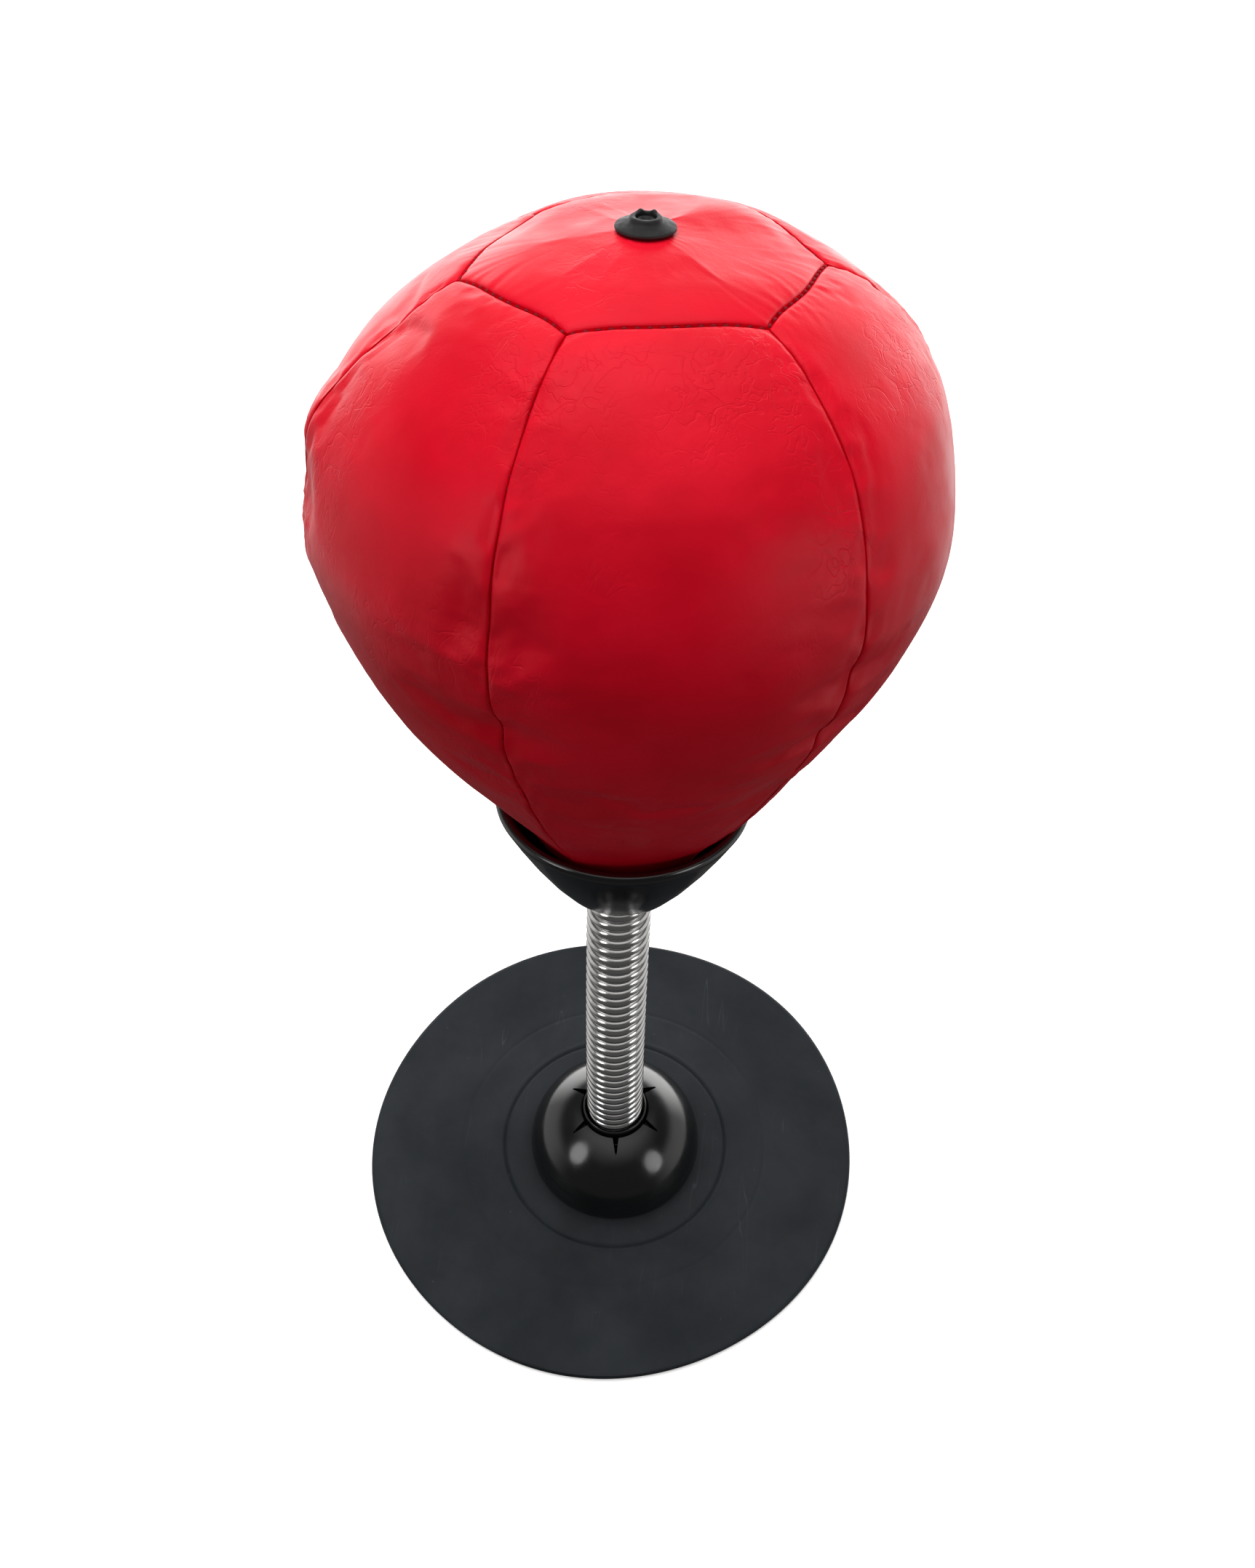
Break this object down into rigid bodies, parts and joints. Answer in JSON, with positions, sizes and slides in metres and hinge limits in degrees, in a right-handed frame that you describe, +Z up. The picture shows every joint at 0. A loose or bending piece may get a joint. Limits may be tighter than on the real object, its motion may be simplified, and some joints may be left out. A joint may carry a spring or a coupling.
{
  "type": "desktop punching bag",
  "caption": "Desktop punching bag: a red sewn leather ball in a flared black cup, on a bending chrome coil spring and a round rubber suction base.",
  "frame": {"origin": "centre of the base's underside, on the desk", "axes": "+Z up; +Y is the way the bag leans back at rest; -Y is the front, where it is punched"},
  "size_m": [0.16, 0.191, 0.3315],
  "materials": {
    "red_leather": "smooth PU leather, semi-gloss",
    "gloss_plastic": "gloss black moulded plastic",
    "matte_plastic": "matte black moulded plastic",
    "disc_rubber": "matte black rubber",
    "valve_rubber": "matte black rubber",
    "bladder_rubber": "matte",
    "chromed_spring": "polished chrome-plated spring wire",
    "zinc_steel": "zinc-plated steel"
  },
  "bodies": {
    "base": {"suction_disc": "disc_rubber", "base_dome": "gloss_plastic", "foot_collar": "gloss_plastic", "stiffener_plate": "zinc_steel", "base_bolt": "zinc_steel", "base_washer": "zinc_steel", "base_nut": "zinc_steel", "lower_spring_plug": "zinc_steel", "spring_foot": "chromed_spring"},
    "flex_1": {"spring_section_1": "chromed_spring"},
    "flex_2": {"spring_section_2": "chromed_spring"},
    "flex_3": {"spring_section_3": "chromed_spring"},
    "flex_4": {"spring_section_4": "chromed_spring"},
    "flex_5": {"spring_section_5": "chromed_spring"},
    "flex_6": {"spring_section_6": "chromed_spring"},
    "flex_7": {"spring_section_7": "chromed_spring"},
    "bag": {"spring_head": "chromed_spring", "holder_cup": "gloss_plastic", "upper_spring_plug": "zinc_steel", "cup_bolt": "zinc_steel", "cup_washer": "zinc_steel", "cup_nut": "zinc_steel", "clamp_disc": "matte_plastic", "bottom_patch": "red_leather", "panel_1": "red_leather", "panel_2": "red_leather", "panel_3": "red_leather", "panel_4": "red_leather", "panel_5": "red_leather", "panel_6": "red_leather", "top_cap": "red_leather", "bladder": "bladder_rubber", "valve_flange": "valve_rubber", "valve_core": "valve_rubber"}
  },
  "joints": [
    {"name": "pitch_1", "type": "hinge", "parent": "base", "child": "flex_1", "pos_m": [0, 0.00004, 0.04528], "axis": [-1, 0, 0], "range_deg": [-18, 12], "stiffness_Nm_per_rad": 3.6, "springref_deg": -1.39, "deforming": ["spring_foot", "spring_section_1"]},
    {"name": "roll_1", "type": "hinge", "parent": "flex_1", "child": "flex_2", "pos_m": [0, 0.00037, 0.05784], "axis": [0, 0.9992, -0.0393], "range_deg": [-15, 15], "stiffness_Nm_per_rad": 3.6, "deforming": ["spring_section_1", "spring_section_2"]},
    {"name": "roll_2", "type": "hinge", "parent": "flex_2", "child": "flex_3", "pos_m": [0, 0.00103, 0.07038], "axis": [0, 0.9979, -0.0654], "range_deg": [-15, 15], "stiffness_Nm_per_rad": 3.6, "deforming": ["spring_section_2", "spring_section_3"]},
    {"name": "pitch_2", "type": "hinge", "parent": "flex_3", "child": "flex_4", "pos_m": [0, 0.00201, 0.08291], "axis": [-1, 0, 0], "range_deg": [-18, 12], "stiffness_Nm_per_rad": 3.6, "springref_deg": -1.29, "deforming": ["spring_section_3", "spring_section_4"]},
    {"name": "pitch_3", "type": "hinge", "parent": "flex_4", "child": "flex_5", "pos_m": [0, 0.00333, 0.0954], "axis": [-1, 0, 0], "range_deg": [-18, 12], "stiffness_Nm_per_rad": 3.6, "springref_deg": -1.23, "deforming": ["spring_section_4", "spring_section_5"]},
    {"name": "roll_3", "type": "hinge", "parent": "flex_5", "child": "flex_6", "pos_m": [0, 0.00497, 0.10786], "axis": [0, 0.9897, -0.1435], "range_deg": [-15, 15], "stiffness_Nm_per_rad": 3.6, "deforming": ["spring_section_5", "spring_section_6"]},
    {"name": "roll_4", "type": "hinge", "parent": "flex_6", "child": "flex_7", "pos_m": [0, 0.00693, 0.12026], "axis": [0, 0.9856, -0.1693], "range_deg": [-15, 15], "stiffness_Nm_per_rad": 3.6, "deforming": ["spring_section_6", "spring_section_7"]},
    {"name": "pitch_4", "type": "hinge", "parent": "flex_7", "child": "bag", "pos_m": [0, 0.00922, 0.13262], "axis": [-1, 0, 0], "range_deg": [-18, 12], "stiffness_Nm_per_rad": 3.6, "springref_deg": -0.97, "deforming": ["spring_section_7", "spring_head"]}
  ],
  "couplings": [
    {"joint": "roll_2", "follows": "roll_1", "ratio": 1},
    {"joint": "pitch_2", "follows": "pitch_1", "ratio": 1},
    {"joint": "pitch_3", "follows": "pitch_1", "ratio": 1},
    {"joint": "roll_3", "follows": "roll_1", "ratio": 1},
    {"joint": "roll_4", "follows": "roll_1", "ratio": 1},
    {"joint": "pitch_4", "follows": "pitch_1", "ratio": 1}
  ]
}
